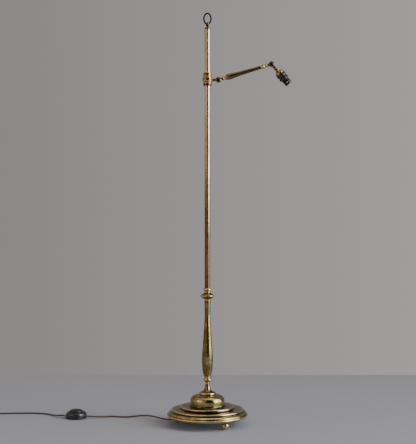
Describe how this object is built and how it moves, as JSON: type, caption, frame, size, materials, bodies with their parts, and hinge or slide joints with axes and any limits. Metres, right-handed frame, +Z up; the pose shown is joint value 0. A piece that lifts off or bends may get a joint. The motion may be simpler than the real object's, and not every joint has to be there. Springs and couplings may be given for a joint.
{
  "type": "pharmacy floor lamp",
  "caption": "Brass floor lamp with a stepped round base on ball feet, turned stem, plain pole with ring finial, adjustable jointed arm with a bayonet lampholder, and a flex with a foot switch.",
  "frame": {"origin": "on the floor, midway between the base's left edge and the lampholder's right end, in the plane of the pole and arm", "axes": "+Z up along the pole; +X from the pole towards the arm and lampholder; +Y to the back, where the pole's slot is"},
  "size_m": [1.2305, 0.3314, 1.4247],
  "materials": {
    "aged_brass": "aged, lacquered, warm olive-gold with dark tarnish in the recesses",
    "pole_brass": "paler polished brass tube",
    "dark_bronze": "bronzed nearly black, semi-gloss",
    "cast_iron": "rough casting, painted black",
    "steel": "zinc plated",
    "ceramic": "off-white glazed insulator",
    "black_plastic": "black moulded, semi-gloss",
    "brown_flex": "dark brown sheathed flex"
  },
  "bodies": {
    "root": {"ball_foot_back": "aged_brass", "ball_foot_front": "aged_brass", "ball_foot_left": "aged_brass", "base_plate": "steel", "base_shell": "aged_brass", "base_weight": "cast_iron", "finial": "aged_brass", "flex_base": "brown_flex", "flex_coil": "brown_flex", "flex_mains": "brown_flex", "flex_sleeve": "black_plastic", "flex_tail": "brown_flex", "inner_flex": "brown_flex", "plug_base": "black_plastic", "plug_cover": "black_plastic", "plug_pin_earth": "aged_brass", "plug_pin_live": "aged_brass", "plug_pin_neutral": "aged_brass", "plug_sleeve": "black_plastic", "pole": "pole_brass", "pole_insert": "steel", "stem_baluster": "aged_brass", "stem_bead": "aged_brass", "stem_foot": "aged_brass", "stem_knop": "aged_brass", "stem_top_bead": "aged_brass", "switch_base": "black_plastic", "switch_bush_far": "aged_brass", "switch_bush_near": "aged_brass", "switch_contacts": "black_plastic", "switch_cover": "black_plastic", "switch_spring": "steel", "tie_nut": "steel", "tie_tube": "steel", "tie_washer": "steel"},
    "slider": {"slider_sleeve": "aged_brass", "flex_bush": "black_plastic", "upper_collar": "aged_brass", "lower_collar": "aged_brass"},
    "bracket": {"swivel_bracket": "aged_brass", "arm_pivot_screw": "dark_bronze", "arm_pivot_nut": "dark_bronze"},
    "arm": {"arm_eye": "aged_brass", "arm_handle": "aged_brass", "arm_ferrule": "aged_brass", "arm_tip": "aged_brass", "arm_cores": "brown_flex", "head_pivot_screw": "dark_bronze", "head_pivot_nut": "dark_bronze"},
    "head": {"head_eye": "aged_brass", "holder_cap": "aged_brass", "holder_ring": "dark_bronze", "holder_body": "dark_bronze", "shade_ring": "dark_bronze", "holder_insulator": "ceramic", "contact_spring_1": "steel", "contact_spring_2": "steel"},
    "contact_1": {"contact_plunger_1": "aged_brass"},
    "contact_2": {"contact_plunger_2": "aged_brass"},
    "button": {"switch_button": "black_plastic"}
  },
  "joints": [
    {"name": "collar_slide", "type": "slide", "parent": "root", "child": "slider", "axis": [0, 0, 1], "range_m": [-0.68, 0.135]},
    {"name": "collar_swivel", "type": "hinge", "parent": "slider", "child": "bracket", "pos_m": [-0.0758, 0, 1.1927], "axis": [0, 0, 1], "range_deg": [-120, 120]},
    {"name": "arm_tilt", "type": "hinge", "parent": "bracket", "child": "arm", "pos_m": [-0.0378, 0, 1.192], "axis": [0, -1, 0], "range_deg": [-70, 45]},
    {"name": "head_tilt", "type": "hinge", "parent": "arm", "child": "head", "pos_m": [0.146, 0, 1.2461], "axis": [0, -1, 0], "range_deg": [-45, 90]},
    {"name": "contact_1_press", "type": "slide", "parent": "head", "child": "contact_1", "axis": [-0.6626, 0, 0.749], "range_m": [0, 0.003], "stiffness_N_per_m": 500, "springref_m": -0.002, "deforming": ["contact_spring_1"]},
    {"name": "contact_2_press", "type": "slide", "parent": "head", "child": "contact_2", "axis": [-0.6626, 0, 0.749], "range_m": [0, 0.003], "stiffness_N_per_m": 500, "springref_m": -0.002, "deforming": ["contact_spring_2"]},
    {"name": "switch_press", "type": "slide", "parent": "root", "child": "button", "axis": [0, 0, -1], "range_m": [0, 0.0025], "stiffness_N_per_m": 2000, "springref_m": -0.002, "deforming": ["switch_spring"]}
  ]
}
